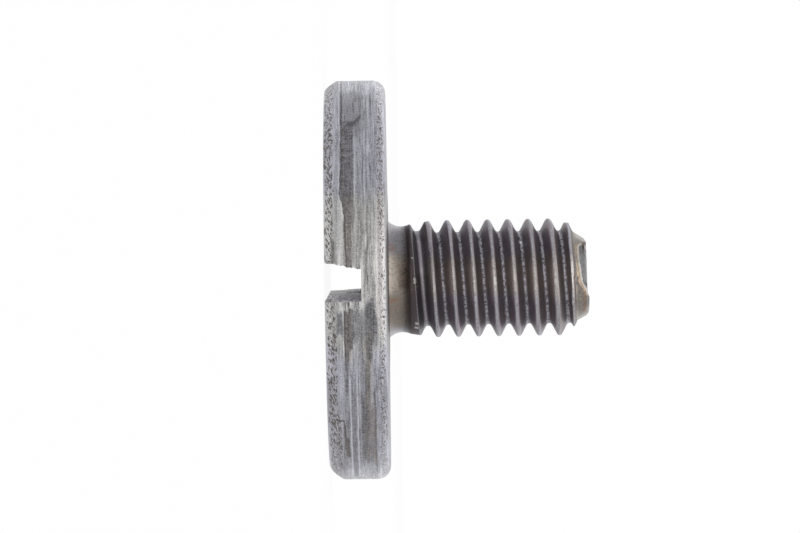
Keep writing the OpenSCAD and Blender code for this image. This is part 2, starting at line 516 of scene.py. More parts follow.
for other, operation in ((shank, "UNION"), (cutter, "DIFFERENCE")):
    joining = head.modifiers.new(operation.lower(), "BOOLEAN")
    joining.operation = operation
    joining.object = other
    joining.solver = "MANIFOLD"
screw_mesh = evaluated(head, "screw_finished")
for spare in (head, shank, cutter):
    bpy.data.objects.remove(spare)
screw = new_object("screw_finished", screw_mesh)


# ---- Wear
# Years of use have pitted both edges of the head, smeared the metal of its rim and broken the end
# of the shank.
PIT_DEPTH = 0.022
SMEAR_STEP = 0.018  # height of the ragged step in the rim's smeared metal
UNEVEN = 0.006  # how far the rim rises and falls
BLUNT_FACE, BLUNT_RIM = 0.12, 0.07  # what knocks have taken off the bevel's two edges
BURR_LEAN = 0.07  # how far one edge of the slot leans over it, on the far side
LAST_RIDGE_WORN = 0.22
END_WORN, END_ROUGH = 0.1, 0.012
BREAK_R = 2.2  # radius at which the break is as deep as its outline says
BREAK_SLOPE = 0.42  # how steeply it rises from there to the back
COLLAR_RISE = 0.05  # rise of the bearing face towards the neck

place = np.empty(len(screw_mesh.vertices) * 3)
screw_mesh.vertices.foreach_get("co", place)
place = place.reshape(-1, 3)
x, y, z = place.T.copy()
r = np.hypot(x, y)
turn = np.degrees(np.arctan2(-x, -y))  # 0 at the front, 90 at -X


def store(name, values):
    """Keeps a value for each point, for the finish to read."""
    kept = screw_mesh.attributes.new(name, "FLOAT", "POINT")
    kept.data.foreach_set("value", values.astype(np.float32))


def ease(value, low, high):
    """0 before low, 1 after high, and a soft curve between."""
    share = np.clip((value - low) / (high - low), 0, 1)
    return share * share * (3 - 2 * share)


def between(value, low, high, fade):
    """1 where value lies between low and high, fading to 0 over fade on each side."""
    return ease(value, low - fade, low) * ease(value, high + fade, high)


def bumps(points, scale, seed, octaves=1):
    """Smooth noise from -1 to 1 at points, with about one bump for each 1 / scale."""
    table = np.random.default_rng(seed).uniform(-1, 1, (32, 32, 32))
    total, size = np.zeros(len(points)), 1.0
    for octave in range(octaves):
        spot = points * scale * 2 ** octave + 5.3 * octave
        corner = np.floor(spot).astype(int)
        share = spot - corner
        share = share * share * (3 - 2 * share)
        value = np.zeros(len(points))
        for step in np.ndindex(2, 2, 2):
            weight = np.prod(np.where(step, share, 1 - share), axis=1)
            value += weight * table[tuple(((corner + step) % 32).T)]
        total += value * size
        size /= 2
    return total


# Where the rim's surface lies at each height
rim_r = np.interp(z, rim_outline[:, 1], rim_outline[:, 0])
on_rim = (np.abs(r - rim_r) < 0.003) & (z > 0.001) & (z < HEAD_H - 0.001)

# Short crooked pits along both edges of the rim, drawn on a flat map of it
CELL = 0.025
map_rows, map_columns = round(HEAD_H / CELL), round(2 * math.pi * HEAD_R / CELL)
pit_map = np.zeros((map_rows, map_columns))
rng = np.random.default_rng(11)


def draw_pits(count, middle, spread, length, width):
    """Pits strewn around a height of the rim, each a walk of dots that wanders off its heading."""
    window = np.arange(-3, 4)
    for _ in range(count):
        column = rng.uniform(0, map_columns)
        row = (middle + rng.normal() * spread) / CELL
        heading = rng.normal() * 0.7
        depth = rng.uniform(0.6, 1.0)
        for _ in range(int(rng.uniform(0.4, 1) * length / CELL)):
            heading += rng.normal() * 0.35
            column += math.cos(heading)
            row += math.sin(heading)
            if not 3 < row < map_rows - 4:
                break
            rows = int(row) + window
            columns = int(column) + window
            apart = (rows[:, None] - row) ** 2 + (columns[None] - column) ** 2
            dot = depth * np.exp(-apart / (2 * (width / CELL) ** 2))
            spot = np.ix_(rows, columns % map_columns)
            pit_map[spot] = np.maximum(pit_map[spot], dot)


draw_pits(520, 0.28, 0.1, 0.24, 0.03)
draw_pits(300, 2.72, 0.09, 0.24, 0.028)
pit_column = (turn / 360 % 1) * map_columns
pit_row = np.clip(z / CELL, 0, map_rows - 1.001)
low_row = np.floor(pit_row).astype(int)
left = np.floor(pit_column).astype(int) % map_columns
right = (left + 1) % map_columns
row_share, column_share = pit_row % 1, pit_column % 1


def on_row(row):
    return pit_map[row, left] * (1 - column_share) + pit_map[row, right] * column_share


pit = on_row(low_row) * (1 - row_share) + on_row(low_row + 1) * row_share

# Zones where finer pits lie: around both edges, and wider where the head has rested on its side
rested = ease(turn, -38, -46) * ease(turn, -75, -66)
zone_z = z + 0.05 * bumps(place, 2.5, 21, 2)
lower = ease(turn, 5, -15)
pit_zone = between(zone_z, 0.07 + 0.05 * lower, 0.46 + 0.08 * lower + 0.14 * rested, 0.06)
pit_zone *= 1 - 0.05 * between(turn, -10, -3.5, 1.5) - 0.05 * between(turn, -19, 28, 4)
pit_zone *= 1 - 0.05 * between(turn, 4, 13, 2)
back_share = np.interp(turn, [-90, -20, -12, 8, 14, 90], [0.94, 0.92, 0.9, 0.9, 0.98, 0.98])
pit_zone = np.maximum(pit_zone, between(zone_z, 2.56, 2.88, 0.06) * back_share)
pit_zone = np.maximum(pit_zone, 0.45 * ease(bumps(place, 0.9, 22, 2), 0.55, 1.0))
store("pit_zone", np.where(on_rim, pit_zone, 0))

# A ragged step where the rim's metal has been smeared sideways: its height at each turn, and how
# strongly the metal is smeared there
EDGE_AT = [
    (-180, 0.9), (-110, 1.1), (-70, 0.8), (-50, 0.76), (-44, 0.78), (-40, 0.9), (-30, 0.95),
    (-8, 0.92), (5, 1.06), (10, 1.01), (17, 1.0), (20.5, 0.93), (22.5, 0.87), (24.5, 0.76),
    (27.5, 0.77), (33, 0.82), (42, 0.86), (80, 0.84), (130, 1.0), (180, 0.9),
]
SMEAR_AT = [
    (-180, 0.3), (-120, 0.6), (-75, 0.1), (-66, 0.1), (-59, 0.6), (-46, 0.6), (-41, 0.1),
    (-31, 0.1), (-24, 0.2), (-20, 0.5), (-9, 0.5), (-6, 0.1), (2, 0.2), (8, 0.72), (14, 0.8),
    (18, 1), (49, 1), (53, 0.55), (80, 0.5), (130, 0.7), (160, 0.4), (180, 0.3),
]
ragged = bumps(place, 4.5, 3, 2) * 0.02 + bumps(place, 10, 4, 2) * 0.018
edge = z - np.interp(turn, *zip(*EDGE_AT)) + ragged
store("edge", np.clip(edge, -2, 2))
smear = np.interp(turn, *zip(*SMEAR_AT))
store("smear", smear)

# Stains and rubbed places on the rim: from and to in degrees, from and to in height, how far
# each fades out both ways, and how strong it is
DARK_MARKS = [
    (49, 92, 0.82, 0.89, 2, 0.03, 0.9), (49, 68, 0.89, 1.02, 4, 0.04, 0.5),
    (45, 51, 0.85, 1.62, 1.5, 0.08, 0.75), (51, 66, 1.1, 1.8, 6, 0.1, 0.5),
    (2, 19, 0.96, 1.32, 3, 0.05, 0.95), (1, 12, 1.3, 1.5, 3, 0.06, 0.4),
    (0, 6, 1.9, 2.04, 3, 0.04, 0.45), (5, 11, 0.37, 0.5, 1.5, 0.03, 0.8),
    (14, 62, 1.5, 2.1, 8, 0.15, 0.3), (12, 22, 1.95, 2.2, 4, 0.06, 0.4),
    (62, 92, 1.3, 2.2, 8, 0.2, 0.1), (-17, -2, 2.24, 2.46, 2, 0.03, 0.5),
    (-14, -8.5, 0.92, 1.36, 1.5, 0.05, 1.2), (-18, -12, 0.92, 1.28, 2, 0.05, 1.1),
    (-23, -16, 0.94, 1.1, 3, 0.04, 1.0), (-33, -21, 0.97, 1.04, 3, 0.03, 0.9),
    (-15, -9.5, 0.58, 0.86, 2, 0.06, 0.8), (-16, -8.5, 1.34, 1.92, 2, 0.08, 0.6),
    (-12.5, -7.5, 1.94, 2.4, 2.5, 0.08, 1.05), (-15.5, -7.5, 1.9, 2.5, 3, 0.06, 0.6),
    (-21, -13, 1.94, 2.22, 2, 0.04, 1.0), (-38, -23, 1.84, 2.08, 3, 0.05, 0.75),
    (-62, -39, 1.75, 2.36, 4, 0.12, 0.55), (-58, -24, 0.86, 1.1, 6, 0.06, 0.42),
    (-75, -30, 1.21, 1.42, 6, 0.03, 0.6), (-66, -18, 1.5, 1.8, 5, 0.08, 0.45),
    (-62, -34, 1.62, 2.02, 5, 0.1, 0.75), (-66, -58, 0.82, 1.0, 3, 0.05, 0.5),
    (-92, -60, 0.9, 2.7, 8, 0.2, 0.3), (-68, -34, 0.5, 2.0, 6, 0.12, 0.36),
    (-40, -16, 0.05, 0.5, 6, 0.06, 0.3),
]
DENTS = [
    (-59, -50.5, 0.82, 1.04, 2, 0.07, 0.88), (-54, -46.5, 0.81, 0.91, 2, 0.05, 0.88),
    (-50, -43, 0.8, 0.86, 0.5, 0.02, 0.95), (-43.5, -42.7, 0.4, 0.84, 0.3, 0.03, 0.85),
]
# Rubbed places and painted highlights: the marks on the bevel, and those along the bearing edge at the
# front, are painted highlights
BRIGHT_MARKS_AND_HIGHLIGHTS = [
    (5, 76, 0.5, 0.76, 4, 0.03, 0.4), (-24, 16, 2.46, 2.9, 5, 0.05, 0.95),
    (2, 22, 0.5, 0.9, 3, 0.08, 0.85), (-9, -5, 0.5, 0.9, 1.5, 0.08, 0.6),
    (-8, -4, 1.28, 1.74, 1.5, 0.08, 0.3), (14, 24, 2.46, 2.98, 4, 0.06, 0.55),
    (-90, 92, 0.0, 0.48, 8, 0.05, 0.85), (-26, -7, 0.0, 0.48, 4, 0.05, 1.1),
    (-46, -14, 0.56, 0.82, 6, 0.05, 0.8), (-10, -3, 0.0, 0.84, 1.5, 0.06, 1.6),
    (-34, -16, 2.62, 2.98, 6, 0.06, 0.35), (22, 92, 2.45, 2.98, 8, 0.06, 0.45),
    (26, 52, 1.48, 1.6, 6, 0.04, 0.35),
]
RUST_MARKS = [
    (-60, -38, 1.85, 2.4, 5, 0.12, 0.45), (-22, -8.5, 0.9, 1.25, 2, 0.04, 0.5),
    (-59, -43, 0.8, 1.05, 6, 0.08, 0.25), (-38, -16, 1.84, 2.2, 3, 0.06, 0.5),
    (-14, 22, 2.46, 2.88, 5, 0.05, 0.3), (12, 48, 0.8, 1.42, 3, 0.06, 0.3),
]
# The far side of the rim has the same kinds of marks in other places
for marks, count in ((DARK_MARKS, 26), (BRIGHT_MARKS_AND_HIGHLIGHTS, 22), (RUST_MARKS, 7)):
    for _ in range(count):
        middle, reach, height = rng.uniform(98, 262), rng.uniform(3, 16), rng.uniform(0.6, 2.5)
        half = rng.uniform(0.03, 0.16)
        low, high = height - half, height + half
        marks.append((middle - reach, middle + reach, low, high, 4, 0.05, rng.uniform(0.3, 0.9)))
BRIGHT_MARKS_AND_HIGHLIGHTS.append((90, 270, 0.0, 0.45, 10, 0.1, 0.4))

turn_ragged = bumps(place * np.array([0.5, 0.5, 6.0]), 1.4, 31, 2)
z_ragged = bumps(place * np.array([0.8, 0.8, 3.0]), 1.5, 32, 3)


def marked(marks):
    """How strongly the marks show at each point of the rim."""
    total = np.zeros(len(place))
    for start, end, low, high, fade_turn, fade, share in marks:
        spot_turn = turn % 360 if end > 180 or start > 90 else turn
        patch = between(spot_turn + fade_turn * turn_ragged, start, end, fade_turn)
        patch *= between(z + 0.7 * fade * z_ragged, low, high, fade)
        total = np.maximum(total, share * patch)
    return np.where(on_rim, total, 0)


store("dark", marked(DARK_MARKS))
store("bright", marked(BRIGHT_MARKS_AND_HIGHLIGHTS))
store("rust", marked(RUST_MARKS))
pit = np.where(on_rim, np.maximum(pit, marked(DENTS)), 0)
store("pit", pit)

step_in = SMEAR_STEP * smear * ease(edge, -0.03, 0.03) * ease(edge, 0.9, 0.4)
uneven = UNEVEN * bumps(place, 2.2, 5, 2) + UNEVEN / 2
inward = np.where(on_rim, PIT_DEPTH * pit + step_in + np.maximum(uneven, 0), 0)

# The bevel is rounder on the side that has been knocked most
knocked = 0.15 + 0.85 * ease(turn, -30, -75) * ease(turn, -170, -120)
blunt = BLUNT_FACE * np.exp(-z / 0.1) + BLUNT_RIM * ease(z, 0.85, 0.4)
inward += np.where(on_rim, knocked * blunt, 0)

# How far a point lies from the slot's walls
across_slot = x * math.cos(SLOT_TURN) + y * math.sin(SLOT_TURN) + SLOT_OFFSET
in_slot = (z < SLOT_DEPTH + 0.01) & (across_slot > -SLOT_W / 2 - SLOT_WEAR - 0.03)
in_slot &= (across_slot < SLOT_W / 2 + 0.03) & ~(on_rim & (np.abs(across_slot) > SLOT_W / 2 + 0.03))
on_wall = in_slot & (r < rim_r - 0.003)
store("slot", on_wall.astype(float))
store("beside_slot", np.clip(np.abs(across_slot) - SLOT_W / 2, 0, 3))

# A burr along one edge of the slot, on the far side
burr_edge = (np.abs(across_slot - SLOT_W / 2) < 0.01) & (y > 5) & (z < SLOT_DEPTH - 0.01)
x = np.where(burr_edge, x - BURR_LEAN * ease(z, 0.35, 1.6), x)


def by_side(minus_x, plus_x):
    """A size that changes evenly around the shank, from its -X side to its +X side."""
    share = (1 + np.sin(np.radians(turn))) / 2
    return share * minus_x + (1 - share) * plus_x


# Beyond its last ridge the shank drops to a narrower cone with a rounded end
over = z - HEAD_H
ridge_edge = by_side(8.9, 9.22)
drop_l = np.where(turn > 0, 0.24, 0.12)
narrowing = by_side(0.66, 0.51)
end_l = SHANK_L - by_side(0.1, 0)
end_r = by_side(1.83, 1.886)
end_edge = by_side(0.36, 0.3)
cone = end_r + narrowing * (end_l - over)
past_edge = np.clip((over - end_l) / end_edge + 1, 0, 1)
steep = np.sqrt(1 + narrowing ** 2)
rounded = end_r + end_edge * (narrowing - steep + np.sqrt(1 - past_edge ** 2))
cone = np.where(past_edge > narrowing / steep, rounded, cone)
drop = 1.67 * np.maximum(0, drop_l - (over - ridge_edge))
past_ridge = (over > ridge_edge) & (over < SHANK_L - 0.001)
rough_end = END_ROUGH * bumps(place, 3.5, 12, 2) * ease(over, 9.15, 9.3)
cone = np.minimum(r, np.maximum(cone + drop, 0.0)) + rough_end - END_ROUGH
new_r = np.where(past_ridge, cone, r - inward)

last_worn = ease(turn, 45, 75) * ease(turn, 160, 130) * between(over, 8.6, 9.3, 0.1)
new_r = np.where(over > 8.3, np.minimum(new_r, THREAD_R - LAST_RIDGE_WORN * last_worn), new_r)
ratio = np.where(r > 1e-6, new_r / np.maximum(r, 1e-6), 1)
x, y = x * ratio, y * ratio

# A piece has broken out of the end's edge, and most of the flat is worn down
BREAK_OUTLINE = [
    (-2.6, 10.0), (-1.81, 9.67), (-1.74, 9.57), (-1.61, 9.43), (-1.51, 9.37), (-1.29, 9.34),
    (-1.01, 9.34), (-0.52, 9.42), (-0.03, 9.44), (0.22, 9.48), (0.47, 9.56), (0.82, 9.68),
    (1.0, 9.85), (1.2, 10.0),
]
front = -np.sqrt(np.maximum(BREAK_R ** 2 - x ** 2, 0.0))
break_z = np.interp(x, *zip(*BREAK_OUTLINE)) + BREAK_SLOPE * np.maximum(y - front, 0)
scoop = HEAD_H + break_z + 0.035 * bumps(place, 3, 8, 3)
store("broken", np.where(z > HEAD_H + 8.8, np.clip(z - scoop, -1, 1), -1))
lip = ease(x, 0.72, 1.05) * ease(-y, -0.6, 0.2)
worn_end = TOTAL_H - END_WORN * (1 - lip) + END_ROUGH * bumps(place, 2, 9, 2)
at_end = z > HEAD_H + 9.0
z = np.where(at_end, np.minimum(z, np.minimum(scoop, worn_end)), z)
z = np.minimum(z, TOTAL_H - 0.001)

# The bearing face rises a little towards the neck
collar = (np.abs(z - HEAD_H) < 0.002) & (r > 2.4)
z += np.where(collar, COLLAR_RISE * ease(r, 6.0, 3.0), 0)

screw_mesh.vertices.foreach_set("co", np.stack([x, y, z], 1).astype(np.float32).ravel())
screw_mesh.transform(Matrix.Scale(MM, 4))
screw_mesh.shade_smooth()
screw_mesh.set_sharp_from_angle(angle=math.radians(38))


# ---- Steel
# The screw is bare steel, drawn into fine lines around its axis and grey with age. One material
# holds it all, and the next sections finish the rim, slot, neck, thread and end in turn.
tree = new_tree(steel)
op, times, plus, less, most = tree.math, tree.times, tree.plus, tree.less, tree.most
ramp, band, mix = tree.ramp, tree.band, tree.mix
spot = tree.add("ShaderNodeVectorMath", operation="SCALE")
tree.put(spot.inputs[0], tree.add("ShaderNodeTexCoord").outputs["Object"])
tree.put(spot.inputs["Scale"], 1 / MM)
spot = spot.outputs[0]
at_x, at_y, level = tree.split(spot)
reach = op("SQRT", plus(times(at_x, at_x), times(at_y, at_y)))
height = less(level, HEAD_H)
turn_at = times(op("ARCTAN2", times(at_x, -1), times(at_y, -1)), 180 / math.pi)


def stored(name):
    """A value that the wear has kept for each point."""
    return tree.add("ShaderNodeAttribute", attribute_name=name).outputs["Fac"]


def lines(around, across, detail, rough):
    """Noise drawn out around the axis, with its bumps per millimetre around and across."""
    stretched = tree.join(times(at_x, around), times(at_y, around), times(level, across))
    return tree.noise(stretched, 1, detail, rough, w=times(reach, across))


broad = lines(0.12, 2, 2, 0.5)
fine = lines(0.38, 9, 3, 0.72)
hair = lines(1, 22, 2, 0.6)
grain = tree.noise(spot, 15, 2, 0.7)
speck = tree.noise(spot, 7, 2, 0.6)
noises = {"broad": broad, "fine": fine, "hair": hair, "grain": grain, "speck": speck}


def centred(value, size):
    """A noise value around 0, times size."""
    return times(less(value, 0.5), size)


def varied(value, **sizes):
    """value, made uneven by the named noises, each over its size."""
    for name, size in sizes.items():
        value = plus(value, centred(noises[name], size))
    return value


def tinted(value, red, green, blue):
    """A grey of the given value, with its red, green and blue each times a share."""
    return tree.add("ShaderNodeCombineColor", {
        "Red": times(value, red), "Green": times(value, green), "Blue": times(value, blue),
    }).outputs[0]


def warmed(value, cool, warm, share):
    """A grey of the given value, from a cool tint to a warm one as share grows."""
    return mix(share, tinted(value, *cool), tinted(value, *warm))


# ---- Rim finish
# Fine turned lines, with stains, places that have been rubbed bright, painted highlights, a painted
# warm reflection at the front, and a few long scratches. Brown dirt fills the pits.
SCRATCHES = [  # from and to in height, from and to in degrees, how bright it is
    (1.5, 1.54, 12, 46, 0.15), (1.95, 1.99, 12, 46, 0.2), (1.12, 1.17, -75, -30, 0.32),
    (1.45, 1.5, -75, -30, 0.32), (0.9, 0.95, -75, -62, 0.15), (1.6, 1.63, -60, -24, 0.2),
    (1.76, 1.86, -6.5, 4, 0.3), (2.12, 2.16, 15, 75, 0.15), (1.2, 1.24, 100, 150, 0.25),
    (1.85, 1.9, -160, -105, 0.25), (2.25, 2.3, 120, 175, -0.2), (0.7, 0.74, -150, -100, 0.2),
    (1.36, 1.39, 10, 30, 0.12), (2.3, 2.33, -70, -8, -0.15), (0.74, 0.78, 14, 80, 0.08),
]
PIT_EDGE = (0.25, 0.21, 0.175)
PIT_DIRT = ((0.048, 0.036, 0.034), (0.12, 0.095, 0.086))


def ragged_mark(name, unevenness, low, high):
    """A stored mark, its edges broken up."""
    mark = stored(name)
    return ramp(plus(mark, times(mark, unevenness)), low, high)


rim_here = times(ramp(reach, HEAD_R - 0.75, HEAD_R - 0.65), ramp(height, 0.1, 0))
slot_depth = ramp(level, SLOT_DEPTH, SLOT_DEPTH - 0.1)
beside_slot = times(ramp(stored("beside_slot"), 0.35, 0), rim_here, slot_depth)
pit_zone = times(stored("pit_zone"), rim_here)
line_size = plus(1, times(beside_slot, 1.6), times(pit_zone, -0.4))
tone = plus(
    0.5, centred(broad, 0.35), times(centred(fine, 1.1), line_size),
    times(centred(hair, 1.45), line_size), centred(grain, 1.2),
)
sway = varied(level, broad=0.1, fine=0.04)
edge_at = varied(stored("edge"), grain=0.07)
smear_at = stored("smear")
smeared = times(ramp(edge_at, -0.01, 0.02), ramp(sway, 1.49, 1.41), ramp(smear_at, 0.6, 0.95))
dark_at = ragged_mark("dark", plus(centred(fine, 1.2), centred(hair, 0.8)), 0.05, 0.95)
dark_at = times(most(dark_at, smeared), rim_here)
# Rubbed places and painted highlights alike
bright_and_highlight_at = times(ragged_mark("bright", centred(fine, 1.2), 0.05, 0.95), rim_here)
ticks = tree.noise(tree.join(times(at_x, 9), times(at_y, 9), times(level, 1.6)), 1, 2, 0.6)
tick_size = plus(0.15, times(band(turn_at, 36, 46, 3), 0.5))
dark_tone = plus(
    0.137, times(band(turn_at, -16, -8, 3), -0.04), centred(tone, 0.26),
    centred(ticks, tick_size), centred(grain, 0.26), centred(speck, 0.5),
)
bright_tone = plus(0.8, centred(tone, 0.6), centred(grain, 0.5))
tone = plus(tone, times(bright_and_highlight_at, 0.6, less(bright_tone, tone)))
tone = plus(tone, times(dark_at, 0.92, less(dark_tone, tone)))
for low_level, high_level, start, end, amount in SCRATCHES:
    scratch = times(band(sway, low_level, high_level, 0.03), band(turn_at, start, end, 4))
    tone = plus(tone, times(scratch, rim_here, amount))

# The ragged step: a painted shadow line below a painted highlight, along the edge of the smeared metal
step_painted_shadow = times(band(edge_at, 0, 0.03, 0.02), rim_here, ramp(smear_at, 0.1, 0.6))
step_painted_highlight = times(band(edge_at, -0.08, -0.04, 0.02), rim_here, ramp(smear_at, 0.1, 0.6))
tone = plus(tone, times(step_painted_shadow, -0.2), times(step_painted_highlight, 0.14))
# A smudge that runs aslant across the lines, and painted highlights on the bevel and the bearing edge
smudge_turn = varied(plus(50.2, times(most(less(level, 1.46), 0), 9.5)), grain=3, hair=2)
smudge = ramp(op("ABSOLUTE", less(turn_at, smudge_turn)), 1.2, 0.6)
smudge = times(smudge, band(level, 1.18, 1.8, 0.06), rim_here)
tone = plus(tone, times(smudge, 0.95, less(0.04, tone)))
# Painted highlights: the bevel beside the slot, the bevel at the top and the band by the bearing edge
# at the front are made brighter in colour
bevel_painted_highlight = times(band(level, -0.05, 0.25, 0.15), band(turn_at, -26, 24, 6), rim_here)
side_painted_highlight = times(band(level, -0.05, 0.35, 0.15), band(turn_at, 62, 95, 8), rim_here)
back_painted_highlight = band(varied(level, fine=0.06), 2.5, 2.86, 0.05)
back_painted_highlight = times(back_painted_highlight, band(turn_at, -15, 9, 5), rim_here)
tone = plus(tone, times(bevel_painted_highlight, 0.28), times(side_painted_highlight, 0.22), times(back_painted_highlight, 0.1))
# A warm tint on the side that faces the front lamp, and a cool one elsewhere: a painted reflection of
# the warm front lamp and the cool surround, broken up by noise. The crests and flanks use it too.
warm = varied(band(turn_at, -12, 18, 14), broad=1.2, speck=0.8)
shade = plus(0.075, times(most(tone, 0), 0.485))
metal = warmed(shade, (1, 1, 1.12), (1, 1, 1), ramp(warm, 0.2, 0.8))
dark_metal = warmed(shade, (1.02, 1, 1.09), (1.05, 1, 0.96), band(turn_at, 2, 22, 5))
metal = mix(times(dark_at, 0.7), metal, dark_metal)
rust_at = ragged_mark("rust", plus(centred(fine, 1), centred(speck, 1.6)), 0.1, 0.9)
metal = mix(times(rust_at, rim_here), metal, tinted(shade, 1.06, 0.93, 0.84))

# Pits: short crooked strokes with a few blots among them
along_rim = times(turn_at, math.radians(HEAD_R))
pit_spot = tree.join(
    times(along_rim, ramp(level, 1.2, 1.8, 0.36, 0.5)),
    plus(level, times(along_rim, ramp(level, 1.2, 1.8, 0.26, 0.12))),
)
crooked = tree.noise(pit_spot, 7, 2, 0.6)
off_stroke = times(op("ABSOLUTE", less(crooked, 0.5)), ramp(level, 1.2, 1.8, 1, 1.4))
stroke = ramp(off_stroke, 0.08, 0.03)
chosen = tree.noise(pit_spot, 13, 1, 0.5, w=3.7)
pit_here = ramp(plus(chosen, times(less(pit_zone, 1), 0.5)), 0.44, 0.5)
fine_pits = times(stroke, pit_here)
metal = mix(times(ramp(off_stroke, 0.2, 0.06), pit_here, 0.3), metal, PIT_EDGE)
deep_pits = varied(plus(stored("pit"), times(less(pit_zone, 1), 0.25)), grain=0.6)
pitted = most(fine_pits, ramp(deep_pits, 0.48, 0.7))
metal = mix(times(pitted, varied(0.88, grain=0.6)), metal, mix(speck, *PIT_DIRT))


# ---- Slot finish
# The slot's walls are matt and speckled, with rusty dirt in their corners. Their colour is painted
# lighter towards the front and darker along the far part, as painted light and shade.
SLOT_DIRT_AND_SHADE = (0.1, 0.07, 0.07)

slot_at = times(stored("slot"), ramp(level, 0, 0.02))
# Painted light and shade: the walls are lighter towards the front, where the front lamp reaches in, and
# darker towards the far end
slot_shade = varied(ramp(at_y, -5, 9.6, 0.92, 0.36), fine=0.5, grain=1.1, speck=0.6)
slot_dirt_and_shade = times(ramp(speck, 0.5, 0.6), plus(ramp(level, 0.45, 0.2), ramp(level, 1.3, 1.65)))
# Painted shade along the far part of the wall
far_slot_shade = ramp(varied(at_y, speck=2), 5.8, 7.2)
slot_speck = tree.noise(tree.join(at_x, times(at_y, 0.4), times(level, 9)), 1, 2, 0.6)
slot_dirt_and_shade = most(
    slot_dirt_and_shade,
    times(far_slot_shade, ramp(level, 0.1, 0.5, 0.8, 1)),
    times(ramp(slot_speck, 0.53, 0.62), 0.9),
    times(ramp(level, 0.34, 0.24), ramp(at_y, -3, -6)),
)
slot_metal = mix(times(slot_dirt_and_shade, 0.85), tinted(slot_shade, 1.01, 0.99, 1.06), SLOT_DIRT_AND_SHADE)
metal = mix(slot_at, metal, slot_metal)
# The walls lose their shine deeper in the slot and towards the far end, a painted shade; dirt takes it
# away too
slot_share = times(ramp(level, 0.1, 1.7, 1, 0.12), ramp(at_y, 0, 9, 1, 0.7))
slot_share = times(slot_share, less(1, times(slot_dirt_and_shade, 0.92)))
bareness = less(1, times(slot_at, less(1, slot_share)))


# ---- Neck finish
# The neck has a tan painted highlight near the head, where it faces the front, and is brown where dirt
# has gathered, with fine curved scratches. A line of painted shade lies where it meets the head.
NECK_MOTTLE = (0.15, 0.115, 0.095)
NECK_RUST = (0.22, 0.125, 0.085)
NECK_GAP_SHADE = (0.045, 0.032, 0.03)  # painted shade in the corner where it meets the head

curved = plus(at_x, times(height, height, 0.35))
curved = tree.noise(tree.join(times(curved, 9), times(at_y, 9), times(level, 1.5)), 1, 3, 0.7)
noises["curved"] = curved
on_shank = times(ramp(reach, 3.4, 3.3), ramp(height, -0.01, 0.03))
neck_ragged = varied(height, speck=0.3, curved=0.35, grain=0.2)
neck_shade = varied(
    ramp(neck_ragged, 0.1, 0.8, 0.185, 0.155), curved=0.2, grain=0.12, speck=0.08,
)
# A painted highlight, tan, near the head where the neck faces the front
tan_painted_highlight = times(band(turn_at, -6, 20, 14), ramp(neck_ragged, 0.55, 0.15))
neck_shade = plus(neck_shade, times(tan_painted_highlight, 0.18))
brown_turn = varied(turn_at, speck=22, grain=12)
brown_place = times(band(brown_turn, -3, 9, 14), band(neck_ragged, 0.64, 1.1, 0.25))
neck_shade = times(neck_shade, less(1, times(brown_place, 0.5)))
mottled = times(ramp(varied(curved, grain=0.4), 0.5, 0.62), band(turn_at, -60, 25, 10))
neck_warm = times(band(turn_at, -52, 20, 16), ramp(speck, 0.25, 0.6, 0.55, 1))
neck_metal = warmed(neck_shade, (1.05, 1, 1.07), (1.12, 1, 0.85), neck_warm)
rusty = plus(
    times(band(turn_at, -22.5, -20.5, 1.5), ramp(height, 0.6, 0.3)),
    times(band(turn_at, 32, 38, 4), band(height, 0.1, 0.3, 0.1), ramp(speck, 0.42, 0.56)),
    times(band(turn_at, -46, -22, 6), ramp(curved, 0.52, 0.62), 0.7),
)
neck_metal = mix(brown_place, neck_metal, tinted(neck_shade, 1.2, 0.98, 0.86))
neck_metal = mix(times(mottled, 0.5), neck_metal, NECK_MOTTLE)
neck_metal = mix(times(rusty, 0.55), neck_metal, NECK_RUST)
# Painted shade: a dark line in the corner where the neck meets the head
neck_gap_shade = ramp(varied(height, grain=0.03), 0.055, 0.03)
neck_metal = mix(times(neck_gap_shade, 0.95), neck_metal, NECK_GAP_SHADE)


# ---- Thread finish
# The thread has dirt on its flanks, rubbed crests with painted highlights where they face the front,
# and crumbs in its roots. Its first ridge is dirtiest.
ROOT_DIRT = ((0.078, 0.07, 0.078), (0.275, 0.262, 0.295))
FIRST_DIRT = ((0.045, 0.035, 0.036), (0.135, 0.105, 0.105))
CRUMB = ((0.38, 0.38, 0.38), (0.6, 0.59, 0.55))
STAIN = (0.1, 0.075, 0.065)
FLECKS = [  # degrees around, radius, height above the head, size
    (-0.5, 2.7, 1.32, 0.12), (-2.5, 2.7, 1.33, 0.12), (-7.5, 2.66, 1.36, 0.1),
    (-13, 2.64, 1.38, 0.08), (-17, 2.62, 1.36, 0.07), (-52, 2.76, 1.38, 0.11),
    (-60, 2.76, 1.35, 0.13), (49, 2.31, 6.51, 0.14), (31, 2.6, 4.92, 0.06),
    (17, 2.6, 7.04, 0.06), (-32, 2.6, 6.14, 0.08), (41, 2.55, 6.75, 0.05),
    (-29, 2.6, 9, 0.12), (-0.5, 2.88, 5.18, 0.14), (-4.5, 2.86, 5.2, 0.13),
    (-62, 2.4, 3.6, 0.1), (150, 2.7, 4.1, 0.1), (-130, 2.6, 7.3, 0.12), (200, 2.6, 6.2, 0.08),
]

around = op("DIVIDE", op("ARCTAN2", at_y, at_x), 2 * math.pi)
wound = less(op("DIVIDE", less(height, CREST_Z), PITCH), around)
in_turn = op("FRACT", wound)
from_crest = times(op("PINGPONG", in_turn, 0.5), PITCH)
